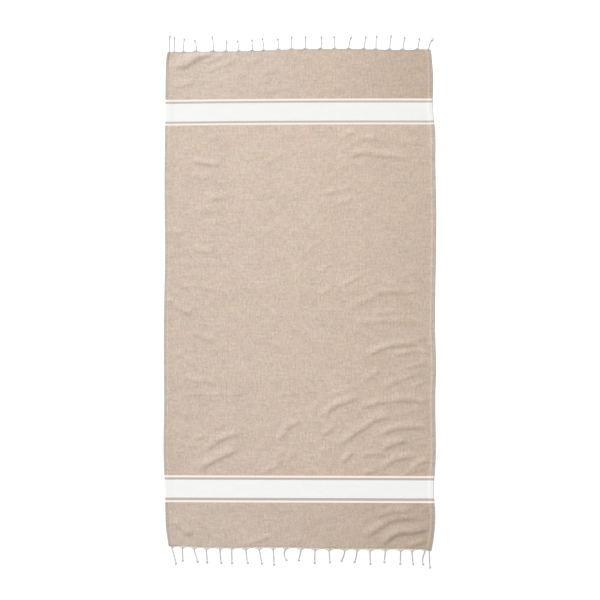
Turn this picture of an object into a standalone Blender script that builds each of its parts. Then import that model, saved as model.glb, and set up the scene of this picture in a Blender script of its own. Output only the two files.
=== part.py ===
"""Flat-woven cotton beach towel, lying open on the ground, with knotted tassels at both ends.

Metres, +Z up. +Y runs along the towel's length, and the origin is on the ground under its
middle. The woven cloth is one sheet whose long sides are turned in as narrow hems. At each end
its last threads form a narrow strip, and the warp ends that leave the strip are gathered into
tassels, each twisted and knotted near its tip. The tables of places and sizes are in
millimetres, measured from the middle of the towel.
"""
import math
from collections import namedtuple

import bmesh
import bpy
import numpy as np
from mathutils import Vector

MM = 0.001

# Driving dimensions, in metres. The cloth is 1.00 m wide and 1.83 m long, 1.97 m with tassels.
CLOTH_THICKNESS = 0.0014
HEM_WIDTH = 0.014
HEM_THICKNESS = 0.0030
HEM_STEP = 0.002              # width over which the turned hem drops to the single cloth
CLEARANCE = 0.0003            # parting between the cloth and the strip at its end
STRIP_WIDTH = 0.0040
STRIP_THICKNESS = 0.0018
ROOT_SWELL = 0.0020           # how far the strip reaches out where a tassel leaves it
ROOT_HALF_WIDTH = 0.0050
STRAND_TOP_SHARE = 0.70       # width of a strand's top face as a share of its foot
END_FADE = 0.024              # folds die out over this distance from the two ends

# Mesh density of the sheet
ROW_COUNT = 40
ROW_CROWDING = 0.5            # how much closer than even the rows lie at the two ends
FINEST_EDGE = 0.013
RELIEF_TOLERANCE = 0.00045
REFINING_ROUNDS = 5

# The two long sides: where they lie at each place along the towel
Side = namedtuple("Side", "along left right")
SIDES = [
    Side(-924, -476, 482),
    Side(-880, -484, 490),
    Side(-835, -490, 495),
    Side(-790, -492, 497),
    Side(-705, -494, 492),
    Side(-570, -499, 499),
    Side(-350, -497, 497),
    Side(-260, -498, 500),
    Side(-90, -498, 496),
    Side(40, -496, 497),
    Side(135, -494, 500),
    Side(355, -495.5, 500.5),
    Side(500, -495.5, 497.5),
    Side(620, -494, 497),
    Side(705, -493, 489),
    Side(840, -491.5, 488.5),
    Side(884, -490, 485),
    Side(920, -484, 482),
]

# The two ends of the cloth: where they lie at each place across the towel
End = namedtuple("End", "across far near")
ENDS = [
    End(-485, 911, -898),
    End(-450, 911, -902),
    End(-330, 913, -907),
    End(-220, 914, -908),
    End(-130, 917, -906),
    End(-30, 921, -907),
    End(60, 922, -910),
    End(220, 922, -912),
    End(310, 920, -912),
    End(400, 919, -913),
    End(460, 921, -915),
    End(482, 919, -919),
]

# The main folds: low ridges, each with a gentle side up and left, and a steep side down and
# right. A path runs along the steep side from left to right, as (across, along).
Fold = namedtuple("Fold", "path height gentle steep")
FOLDS = [
    # far end panel
    Fold([(-470, 858), (-437, 853), (-408, 862), (-380, 880), (-335, 900)], 5.2, 42, 20),
    Fold([(-469, 783), (-426, 784), (-400, 791), (-380, 796)], 2.2, 24, 12),
    Fold([(-345, 866), (-315, 875), (-285, 891), (-262, 908)], 2.0, 20, 11),
    # far half of the field
    Fold([(-402, 509), (-347, 497), (-285, 491)], 3.2, 26, 12),
    Fold([(-340, 367), (-300, 371), (-262, 367)], 2.2, 26, 12),
    Fold([(-8, 146), (17, 164), (51, 192), (86, 220)], 1.8, 14, 10),
    Fold([(160, 589), (180, 606), (212, 617)], 2.2, 22, 12),
    Fold([(170, 546), (190, 563), (210, 577)], 1.8, 18, 11),
    Fold([(158, 516), (192, 530), (222, 539), (284, 533), (340, 527), (412, 515)], 3.6, 28, 13),
    Fold([(80, 377), (110, 389), (145, 398), (182, 408), (212, 420)], 1.8, 22, 12),
    # middle of the field
    Fold([(-491, -2), (-469, -10), (-439, -17)], 2.2, 18, 10),
    Fold([(-462, -24), (-436, -41), (-412, -56), (-384, -59)], 3.2, 24, 11),
    Fold([(-404, -124), (-372, -136), (-341, -149), (-309, -161)], 3.0, 24, 10),
    Fold([(-453, -187), (-433, -207), (-409, -231), (-382, -254)], 3.6, 18, 8),
    Fold([(-440, -280), (-396, -295), (-350, -303), (-303, -318)], 2.0, 24, 11),
    Fold([(146, 36), (170, 50), (192, 64), (244, 93)], 2.3, 16, 10),
    Fold([(156, 15), (178, 22), (202, 28)], 1.4, 18, 10),
    Fold([(156, -40), (186, -37), (212, -22), (238, -11), (266, 2), (298, 21), (369, 25),
          (478, 28)], 2.6, 28, 14),
    Fold([(178, -93), (233, -88), (290, -83), (377, -83), (480, -91)], 2.0, 24, 12),
    # near left of the field
    Fold([(-372, -540), (-338, -544), (-310, -526), (-278, -509), (-248, -500),
          (-215, -484)], 3.6, 26, 13),
    Fold([(-384, -634), (-353, -613), (-328, -599), (-304, -587), (-262, -566),
          (-222, -549)], 4.2, 30, 16),
    Fold([(-80, -528), (-66, -507), (-48, -489), (-39, -470), (-5, -452), (12, -444)], 3.2, 24, 12),
    Fold([(-104, -628), (-80, -612), (-66, -588), (-70, -568), (-46, -549)], 2.6, 18, 10),
    Fold([(-150, -648), (-124, -641), (-98, -629)], 1.8, 20, 11),
    # fan at the near right of the field
    Fold([(240, -213), (270, -198), (298, -185), (340, -172), (410, -166),
          (445, -160)], 3.9, 26, 12),
    Fold([(330, -203), (362, -200), (392, -193), (428, -188), (452, -193),
          (482, -202)], 2.0, 18, 11),
    Fold([(228, -304), (259, -288), (294, -262)], 2.2, 22, 12),
    Fold([(386, -257), (428, -247), (452, -240), (480, -234)], 2.0, 18, 10),
    Fold([(296, -325), (338, -314), (390, -290), (452, -271)], 2.6, 26, 12),
    Fold([(90, -442), (112, -406), (160, -385), (220, -362)], 3.6, 28, 13),
    Fold([(211, -400), (254, -391), (290, -381), (345, -378)], 3.0, 24, 15),
    Fold([(330, -378), (370, -371), (417, -372), (480, -385)], 3.2, 24, 12),
    Fold([(140, -545), (186, -505), (235, -472), (282, -441), (350, -425)], 3.8, 30, 14),
    Fold([(352, -432), (400, -416), (455, -399)], 1.8, 22, 11),
    Fold([(292, -509), (329, -484), (377, -474), (430, -471), (480, -477)], 3.6, 26, 13),
    Fold([(162, -602), (183, -576), (203, -556)], 3.6, 22, 11),
    Fold([(306, -556), (343, -535), (366, -528), (398, -524)], 4.2, 30, 12),
    Fold([(222, -592), (254, -575), (312, -572)], 2.0, 22, 14),
    Fold([(296, -634), (328, -606), (366, -586), (430, -578)], 3.4, 26, 12),
    Fold([(415, -622), (443, -604), (475, -592)], 3.4, 22, 12),
    Fold([(228, -646), (252, -639), (278, -634)], 2.4, 18, 11),
    Fold([(377, -649), (428, -631), (480, -623)], 2.4, 22, 12),
    # near end panel
    Fold([(-466, -816), (-436, -839), (-414, -860), (-390, -878)], 4.6, 26, 18),
    Fold([(-410, -816), (-376, -818), (-346, -834)], 1.9, 20, 11),
    Fold([(-192, -902), (-150, -892), (-116, -879), (-92, -868)], 2.4, 20, 12),
    Fold([(268, -800), (317, -785), (352, -777), (415, -777)], 3.4, 24, 15),
    Fold([(447, -782), (461, -774), (483, -767)], 2.2, 18, 10),
    Fold([(226, -874), (268, -860), (312, -830), (345, -811), (400, -806),
          (440, -811)], 4.6, 28, 15),
    Fold([(292, -910), (330, -877), (362, -861), (420, -856), (482, -840)], 5.6, 32, 16),
    Fold([(406, -907), (436, -895), (475, -887)], 3.2, 18, 11),
]
FOLD_TAPER = 0.30             # share of a fold's length over which it rises from each end
PATH_STEPS = 6                # straight runs between two points of a fold's path

# Tassels from left to right: root across the towel, lean of the tip to the right, reach past
# the strip, and bow of the middle to the right
Tassel = namedtuple("Tassel", "root lean reach bow")
FAR_TASSELS = [
    Tassel(-478, 3, 66, -3), Tassel(-462, 0, 60, 1), Tassel(-427, 3, 53, -1),
    Tassel(-380, -9, 46, 3), Tassel(-316, -9, 59, 2), Tassel(-271, 1, 40, 1),
    Tassel(-224, -7, 41, 1), Tassel(-173, -5, 43, 1), Tassel(-132, -9, 48, 2),
    Tassel(-77, -5, 43, 0), Tassel(-29, 0, 50, -1), Tassel(21, -2, 50, 1),
    Tassel(78, 0, 50, 1), Tassel(129, -5, 50, 1), Tassel(180, 11, 46, -2),
    Tassel(237, 7, 51, -1), Tassel(280, 3, 54, -1), Tassel(330, 6, 57, 0),
    Tassel(379, 7, 50, 0), Tassel(434, 5, 43, 1), Tassel(474, 17, 41, -3),
]
NEAR_TASSELS = [
    Tassel(-471, 17, 66, 2), Tassel(-432, 1, 52, 1), Tassel(-390, 16, 54, 1),
    Tassel(-344, 3, 55, 1), Tassel(-293, 5, 55, -1), Tassel(-250, 1, 56, 0),
    Tassel(-198, 8, 56, -1), Tassel(-150, 11, 60, 1), Tassel(-98, 3, 64, 1),
    Tassel(-52, 7, 44, -8), Tassel(5, -11, 44, 1), Tassel(56, -2, 53, 0),
    Tassel(107, 3, 49, 1), Tassel(165, -16, 42, 4), Tassel(210, -12, 47, 3),
    Tassel(258, 1, 54, 0), Tassel(314, -5, 47, 1), Tassel(371, -2, 53, 0),
    Tassel(412, 5, 54, 0), Tassel(461, -6, 52, -6), Tassel(476, 2, 62, 0),
]

# A strand's sections from root to tip: place as a share of its length, half width, height
Section = namedtuple("Section", "share half_width height")
STRAND_SECTIONS = [
    Section(0.10, 1.9, 3.2),
    Section(0.35, 1.9, 3.4),
    Section(0.58, 1.9, 3.4),
    Section(0.70, 2.0, 3.4),
    Section(0.77, 3.5, 5.4),
    Section(0.84, 3.8, 6.0),
    Section(0.90, 2.2, 3.8),
    Section(0.95, 2.6, 3.2),
    Section(1.00, 1.6, 1.6),
]


def smooth_through(knots, values, places):
    """Smooth curve through a table's values, read at the given places."""
    knots = np.asarray(knots, dtype=float)
    values = np.asarray(values, dtype=float)
    places = np.asarray(places, dtype=float)
    slopes = np.gradient(values, knots)
    low = np.clip(np.searchsorted(knots, places) - 1, 0, len(knots) - 2)
    span = knots[low + 1] - knots[low]
    share = np.clip((places - knots[low]) / span, 0.0, 1.0)
    rise = share * share * (3.0 - 2.0 * share)
    leaving = span * slopes[low] * share * (1.0 - share) ** 2
    arriving = span * slopes[low + 1] * share * share * (share - 1.0)
    return values[low] * (1.0 - rise) + values[low + 1] * rise + leaving + arriving


def side_across(along, side):
    """Where the left or right side lies across the towel, in metres."""
    places = [row.along for row in SIDES]
    values = [getattr(row, side) for row in SIDES]
    return smooth_through(places, values, along / MM) * MM


def end_along(across, end):
    """Where the cloth's far or near end lies along the towel, in metres."""
    places = [row.across for row in ENDS]
    values = [getattr(row, end) for row in ENDS]
    return smooth_through(places, values, across / MM) * MM


def bell(share):
    """1 at the crest and 0 from a share of 1 on, level at both."""
    return 0.5 * (1.0 + np.cos(math.pi * np.clip(share, 0.0, 1.0)))


def smooth_path(points):
    """A fold's path as many short runs through its points."""
    points = np.asarray(points, dtype=float) * MM
    knots = np.arange(len(points))
    places = np.linspace(0, len(points) - 1, PATH_STEPS * (len(points) - 1) + 1)
    columns = [smooth_through(knots, points[:, axis], places) for axis in (0, 1)]
    return np.stack(columns, axis=1)


def fold_height(fold, across, along):
    """Height of one fold over each place of the sheet, in metres."""
    path = smooth_path(fold.path)
    lengths = np.linalg.norm(np.diff(path, axis=0), axis=1)
    starts = np.concatenate([[0.0], np.cumsum(lengths)[:-1]])
    nearest = np.full(across.shape, np.inf)
    offset = np.zeros(across.shape)
    travelled = np.zeros(across.shape)
    for (x, y), (dx, dy), length, start in zip(path, np.diff(path, axis=0), lengths, starts):
        run = np.clip(((across - x) * dx + (along - y) * dy) / length ** 2, 0.0, 1.0)
        gap_x = across - x - run * dx
        gap_y = along - y - run * dy
        distance = np.hypot(gap_x, gap_y)
        closer = distance < nearest
        nearest = np.where(closer, distance, nearest)
        side = np.where(dx * gap_y - dy * gap_x >= 0.0, 1.0, -1.0)
        offset = np.where(closer, side * distance, offset)
        travelled = np.where(closer, start + run * length, travelled)
    share = travelled / lengths.sum()
    taper = 1.0 - bell(np.minimum(share, 1.0 - share) / FOLD_TAPER)
    steep = fold.steep * MM
    beyond = offset - steep / 2.0
    across_fold = np.where(beyond > 0.0, bell(beyond / (fold.gentle * MM)), bell(-beyond / steep))
    return fold.height * MM * taper * across_fold


def relief(across, along):
    """Height of the sheet's underside above the ground: nought where it lies flat."""
    across = np.asarray(across, dtype=float)
    along = np.asarray(along, dtype=float)
    height = np.zeros(across.shape)
    for fold in FOLDS:
        height += fold_height(fold, across, along)
    to_end = np.minimum(end_along(across, "far") - along, along - end_along(across, "near"))
    return height * (1.0 - bell(to_end / END_FADE))


def end_columns(tassels, end):
    """Places across one end that part the tassels: corners, hems and the middles between."""
    corner_place = end_along(np.array([tassels[0].root, tassels[-1].root]) * MM, end)
    left = float(side_across(corner_place[0], "left"))
    right = float(side_across(corner_place[1], "right"))
    middles = [0.5 * MM * (one.root + two.root) for one, two in zip(tassels[1:-2], tassels[2:-1])]
    return [left, left + HEM_WIDTH] + middles + [right - HEM_WIDTH, right]


def end_line(tassels, end):
    """The cloth's end as points, one at each parting between two tassels."""
    across = np.array(end_columns(tassels, end))
    return np.stack([across, end_along(across, end)], axis=1)


def with_hem_steps(line):
    """The same line with a point where each hem drops to the single cloth."""
    left_run = line[2] - line[1]
    right_run = line[-3] - line[-2]
    left_step = line[1] + left_run * HEM_STEP / np.linalg.norm(left_run)
    right_step = line[-2] + right_run * HEM_STEP / np.linalg.norm(right_run)
    return np.vstack([line[:2], left_step, line[2:-2], right_step, line[-2:]])


def sheet_places(far_line, near_line):
    """Rows of places over the sheet, spread between its two ends and its two sides."""
    far = with_hem_steps(far_line)
    near = with_hem_steps(near_line)
    far_share = (far[:, 0] - far[0, 0]) / (far[-1, 0] - far[0, 0])
    near_share = (near[:, 0] - near[0, 0]) / (near[-1, 0] - near[0, 0])
    rows = []
    for row in range(ROW_COUNT + 1):
        turn = row / ROW_COUNT
        rise = turn - ROW_CROWDING * math.sin(2.0 * math.pi * turn) / (2.0 * math.pi)
        straight = near * (1.0 - rise) + far * rise
        share = near_share * (1.0 - rise) + far_share * rise
        left_shift = side_across(straight[0, 1], "left") - straight[0, 0]
        right_shift = side_across(straight[-1, 1], "right") - straight[-1, 0]
        if row in (0, ROW_COUNT):
            left_shift = right_shift = 0.0
        straight[:, 0] += left_shift * (1.0 - share) + right_shift * share
        rows.append(straight)
    return rows


def coarse_edges(bm):
    """Edges from which the relief departs by more than the tolerance."""
    ends = np.array([[vert.co[:] for vert in edge.verts] for edge in bm.edges])
    lengths = np.linalg.norm(ends[:, 0] - ends[:, 1], axis=1)
    departure = np.zeros(len(lengths))
    for share in (0.25, 0.5, 0.75):
        between = ends[:, 0] * (1.0 - share) + ends[:, 1] * share
        height = relief(between[:, 0], between[:, 1])
        departure = np.maximum(departure, np.abs(height - between[:, 2]))
    coarse = (departure > RELIEF_TOLERANCE) & (lengths > FINEST_EDGE)
    return [edge for edge, is_coarse in zip(bm.edges, coarse) if is_coarse]


def settle(bm):
    """Lays every point of the sheet on the relief."""
    places = np.array([vert.co[:2] for vert in bm.verts])
    for vert, height in zip(bm.verts, relief(places[:, 0], places[:, 1])):
        vert.co.z = height


def refine(bm):
    """Splits the triangles that the folds cross, and leaves the flat ones large."""
    for _ in range(REFINING_ROUNDS):
        bm.edges.index_update()
        bm.edges.ensure_lookup_table()
        longest = set()
        for edge in coarse_edges(bm):
            for face in edge.link_faces:
                longest.add(max(face.edges, key=lambda side: side.calc_length()).index)
        chosen = [bm.edges[index] for index in sorted(longest)]
        bmesh.ops.subdivide_edges(bm, edges=chosen, cuts=1)
        bmesh.ops.triangulate(bm, faces=bm.faces[:], quad_method="SHORT_EDGE")
        settle(bm)


def make_material(name, colour, roughness):
    """A plain cotton finish."""
    material = bpy.data.materials.new(name)
    material.use_nodes = True
    shader = material.node_tree.nodes["Principled BSDF"]
    shader.inputs["Base Color"].default_value = (*colour, 1.0)
    shader.inputs["Roughness"].default_value = roughness
    shader.inputs["Metallic"].default_value = 0.0
    material.diffuse_color = (*colour, 1.0)
    return material


def add_object(name, bm, material):
    """Turns a finished bmesh into a named object with its material."""
    bmesh.ops.recalc_face_normals(bm, faces=bm.faces[:])
    bmesh.ops.triangulate(bm, faces=bm.faces[:], quad_method="SHORT_EDGE")
    mesh = bpy.data.meshes.new(name)
    bm.to_mesh(mesh)
    bm.free()
    mesh.materials.append(material)
    mesh.shade_smooth()
    mesh.set_sharp_from_angle(angle=math.radians(35))
    obj = bpy.data.objects.new(name, mesh)
    bpy.context.collection.objects.link(obj)
    return obj


def make_cloth(far_line, near_line, material):
    """The woven sheet: a relief of folds, thickened upwards, with a thicker hem on each side."""
    bm = bmesh.new()
    hem = bm.verts.layers.float.new("hem")
    rows = []
    for places in sheet_places(far_line, near_line):
        verts = [bm.verts.new((x, y, 0.0)) for x, y in places]
        for vert in verts[:2] + verts[-2:]:
            vert[hem] = 1.0
        rows.append(verts)
    for lower, upper in zip(rows, rows[1:]):
        for column in range(len(lower) - 1):
            bm.faces.new((lower[column], lower[column + 1], upper[column + 1], upper[column]))
    settle(bm)
    bmesh.ops.triangulate(bm, faces=bm.faces[:], quad_method="SHORT_EDGE")
    refine(bm)
    raised = bmesh.ops.extrude_face_region(bm, geom=bm.faces[:])["geom"]
    for vert in raised:
        if isinstance(vert, bmesh.types.BMVert):
            vert.co.z += CLOTH_THICKNESS + (HEM_THICKNESS - CLOTH_THICKNESS) * vert[hem]
    return add_object("cloth", bm, material)


def strand_point(tassel, outward, start, share):
    """Place and direction along a tassel, which leans and bows in the plane of the ground."""
    lean = tassel.lean * MM
    reach = tassel.reach * MM
    bow = 4.0 * tassel.bow * MM
    across = lean * share + bow * share * (1.0 - share)
    place = start + Vector((across, outward * reach * share))
    heading = Vector((lean + bow * (1.0 - 2.0 * share), outward * reach)).normalized()
    return place, heading


def add_strand(bm, root, tassel, outward):
    """Draws a tassel out of its root face, section by section, level on the ground."""
    middle = root.calc_center_median().xy
    corners = [(corner.co.x > middle.x, corner.co.z > STRIP_THICKNESS / 2) for corner in root.verts]
    start = middle + Vector((tassel.root * MM - middle.x, 0.0))
    face = root
    for section in STRAND_SECTIONS:
        place, heading = strand_point(tassel, outward, start, section.share)
        rightward = Vector((heading.y, -heading.x)) * outward
        face = bmesh.ops.extrude_discrete_faces(bm, faces=[face])["faces"][0]
        for vert, (is_right, is_top) in zip(face.verts, corners):
            width = section.half_width * MM * (STRAND_TOP_SHARE if is_top else 1.0)
            spot = place + rightward * (width if is_right else -width)
            vert.co = (spot.x, spot.y, section.height * MM if is_top else 0.0)


def make_fringe(name, line, tassels, outward, material):
    """A strip of the last threads beyond the cloth's end, with its tassels fused to it."""
    bm = bmesh.new()
    inner = [bm.verts.new((x, y + outward * CLEARANCE, 0.0)) for x, y in line]
    outer = [bm.verts.new((x, y + outward * (CLEARANCE + STRIP_WIDTH), 0.0)) for x, y in line]
    root_pairs = []
    for index, tassel in enumerate(tassels):
        left, right = outer[index].co, outer[index + 1].co
        half = min(ROOT_HALF_WIDTH, tassel.root * MM - left.x - MM, right.x - tassel.root * MM - MM)
        pair = []
        for across in (tassel.root * MM - half, tassel.root * MM + half):
            along = left.lerp(right, (across - left.x) / (right.x - left.x)).y
            pair.append(bm.verts.new((across, along + outward * ROOT_SWELL, 0.0)))
        bm.faces.new((inner[index], inner[index + 1], outer[index + 1], pair[1], pair[0],
                      outer[index]))
        root_pairs.append(pair)
    bottoms = bm.faces[:]
    raised = bmesh.ops.extrude_face_region(bm, geom=bottoms)["geom"]
    for vert in raised:
        if isinstance(vert, bmesh.types.BMVert):
            vert.co.z += STRIP_THICKNESS
    roots = []
    for left, right in root_pairs:
        edge = next(edge for edge in left.link_edges if edge.other_vert(left) is right)
        roots.append(next(face for face in edge.link_faces if abs(face.normal.z) < 0.5))
    for root, tassel in zip(roots, tassels):
        add_strand(bm, root, tassel, outward)
    return add_object(name, bm, material)


def centre_on_ground(objects):
    """Places the objects so that the origin is under the middle of their common box."""
    points = np.array([vert.co[:] for obj in objects for vert in obj.data.vertices])
    middle = (points.min(axis=0) + points.max(axis=0)) / 2.0
    for obj in objects:
        obj.location = (-middle[0], -middle[1], -points[:, 2].min())


def main():
    for obj in list(bpy.data.objects):
        bpy.data.objects.remove(obj)
    beige = make_material("beige_cotton", (0.60, 0.49, 0.40), 0.9)
    white = make_material("white_cotton", (0.86, 0.86, 0.85), 0.9)
    far_line = end_line(FAR_TASSELS, "far")
    near_line = end_line(NEAR_TASSELS, "near")
    cloth = make_cloth(far_line, near_line, beige)
    far = make_fringe("fringe_far", far_line, FAR_TASSELS, 1.0, white)
    near = make_fringe("fringe_near", near_line, NEAR_TASSELS, -1.0, white)
    centre_on_ground([cloth, far, near])


main()
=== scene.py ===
# %% [markdown]
# # A flat-woven beach towel with knotted tassels
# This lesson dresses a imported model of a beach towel. The real one is a length of cotton, woven
# with a white warp and a beige weft, and a white band near each end. Its long sides are turned
# under and stitched, and the warp left over at both ends is gathered into tassels. We load the
# solids first, because every piece has to lie exactly where they are.

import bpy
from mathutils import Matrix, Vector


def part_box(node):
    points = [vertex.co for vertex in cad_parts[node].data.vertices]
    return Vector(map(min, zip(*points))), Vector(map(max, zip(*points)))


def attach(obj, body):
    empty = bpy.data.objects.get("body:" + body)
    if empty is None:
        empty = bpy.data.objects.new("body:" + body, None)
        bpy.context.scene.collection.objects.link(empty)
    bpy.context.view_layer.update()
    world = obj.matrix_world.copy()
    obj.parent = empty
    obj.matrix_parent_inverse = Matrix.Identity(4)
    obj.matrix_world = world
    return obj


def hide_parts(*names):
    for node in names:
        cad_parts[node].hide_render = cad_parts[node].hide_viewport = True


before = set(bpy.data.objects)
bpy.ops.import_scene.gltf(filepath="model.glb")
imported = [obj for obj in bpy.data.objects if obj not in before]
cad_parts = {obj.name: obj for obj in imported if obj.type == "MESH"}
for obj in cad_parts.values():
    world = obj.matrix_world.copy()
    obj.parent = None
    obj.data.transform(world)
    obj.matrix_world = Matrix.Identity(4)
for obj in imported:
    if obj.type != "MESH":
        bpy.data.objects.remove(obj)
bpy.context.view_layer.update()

# %% Bring in the tools, and start with nothing selected
import math
import random
from collections import namedtuple

import bpy
import numpy as np
from mathutils import Matrix, Vector, noise

MM = 0.001

bpy.ops.object.select_all(action="DESELECT")

# %% [markdown]
# ## The outline
# Cloth on a floor is never a true rectangle. Two tables give, in millimetres from the middle of
# the towel, where its sides and its ends lie. A smooth curve runs through each column, so a few
# rows are enough, and easy to correct by eye.

# %% Say where the sides and the ends lie
Side = namedtuple("Side", "along left right")
SIDES = [Side(*row) for row in (
    (-924, -478, 482), (-880, -484, 490), (-835, -490, 495), (-790, -492, 497), (-705, -494, 492),
    (-570, -499, 499), (-350, -497, 497), (-260, -498, 500), (-90, -498, 496), (40, -496, 497),
    (135, -494, 499.3), (355, -495.5, 500.5), (500, -495.5, 497.5), (620, -494, 497),
    (705, -493, 489), (840, -491.5, 488.5), (884, -490, 485), (920, -484, 482),
)]
End = namedtuple("End", "across far near")
ENDS = [End(*row) for row in (
    (-485, 911, -901), (-450, 911, -902), (-330, 913, -907), (-220, 914, -908), (-130, 917, -906),
    (-30, 921, -907), (60, 922, -910), (220, 922, -912), (310, 920, -912), (400, 919, -913),
    (460, 921, -915), (482, 919, -919),
)]


def mix(one, other, share):
    """From one value at a share of 0 to the other at 1."""
    return one * (1 - share) + other * share


def smooth_through(knots, values, places):
    """Smooth curve through a table's values, read at the given places."""
    knots = np.asarray(knots, dtype=float)
    values = np.asarray(values, dtype=float)
    places = np.asarray(places, dtype=float)
    slopes = np.gradient(values, knots)
    low = np.clip(np.searchsorted(knots, places) - 1, 0, len(knots) - 2)
    span = knots[low + 1] - knots[low]
    share = np.clip((places - knots[low]) / span, 0.0, 1.0)
    rise = share * share * (3.0 - 2.0 * share)
    leaving = span * slopes[low] * share * (1.0 - share) ** 2
    arriving = span * slopes[low + 1] * share * share * (share - 1.0)
    return mix(values[low], values[low + 1], rise) + leaving + arriving


def read_table(table, given, wanted, places):
    """One column of a table at places in another column, all in metres."""
    knots = [getattr(row, given) for row in table]
    values = [getattr(row, wanted) for row in table]
    return smooth_through(knots, values, np.asarray(places) / MM) * MM


def side_across(along, side):
    """Where the left or right side lies across the towel, in metres."""
    return read_table(SIDES, "along", side, along)


def end_along(across, end):
    """Where the far or near end of the cloth lies along the towel, in metres."""
    return read_table(ENDS, "across", end, across)


middle_width = side_across(0, "right") - side_across(0, "left")
middle_length = end_along(0, "far") - end_along(0, "near")
print("through its middle the cloth measures", round(float(middle_width), 3), "by",
      round(float(middle_length), 3), "m")

# %% Find where the tables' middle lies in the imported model
lengthwise = np.linspace(-0.9, 0.9, 721)       # every 2.5 mm of the sides
crosswise = np.linspace(-0.48, 0.48, 385)      # and of the ends
outline_low = Vector((side_across(lengthwise, "left").min(),
                      end_along(crosswise, "near").min(), 0))
outline_high = Vector((side_across(lengthwise, "right").max(),
                       end_along(crosswise, "far").max(), 0))
cloth_low, cloth_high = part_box("cloth")
MIDDLE = (cloth_low + cloth_high - outline_low - outline_high) / 2
MIDDLE.z = 0.0
print("the tables' middle lies at", [round(place / MM, 2) for place in MIDDLE], "mm")

# %% [markdown]
# ## The camera
# The towel was photographed from straight above, and a long lens keeps its sides parallel. The
# camera's height follows from the width of floor in the frame. The photo's middle is half a
# pixel off the tables' middle, so the camera moves by that much.

# %% Hang the camera over the towel
MM_PER_PIXEL = 3.676
FRAME_PIXELS = 600
FRAME_MIDDLE = Vector((0.5, 0.4)) * MM_PER_PIXEL * MM
LENS = 100.0
SENSOR = 36.0

frame_width = FRAME_PIXELS * MM_PER_PIXEL * MM
camera_height = LENS / SENSOR * frame_width
camera_place = MIDDLE + Vector((FRAME_MIDDLE.x, FRAME_MIDDLE.y, camera_height))
bpy.ops.object.camera_add(location=camera_place, rotation=(0.0, 0.0, 0.0))
camera = bpy.context.object
camera.data.lens = LENS
camera.data.sensor_width = SENSOR
bpy.context.scene.camera = camera
print("the camera hangs", round(camera_height, 2), "m up and sees", round(frame_width, 3), "m")
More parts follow.
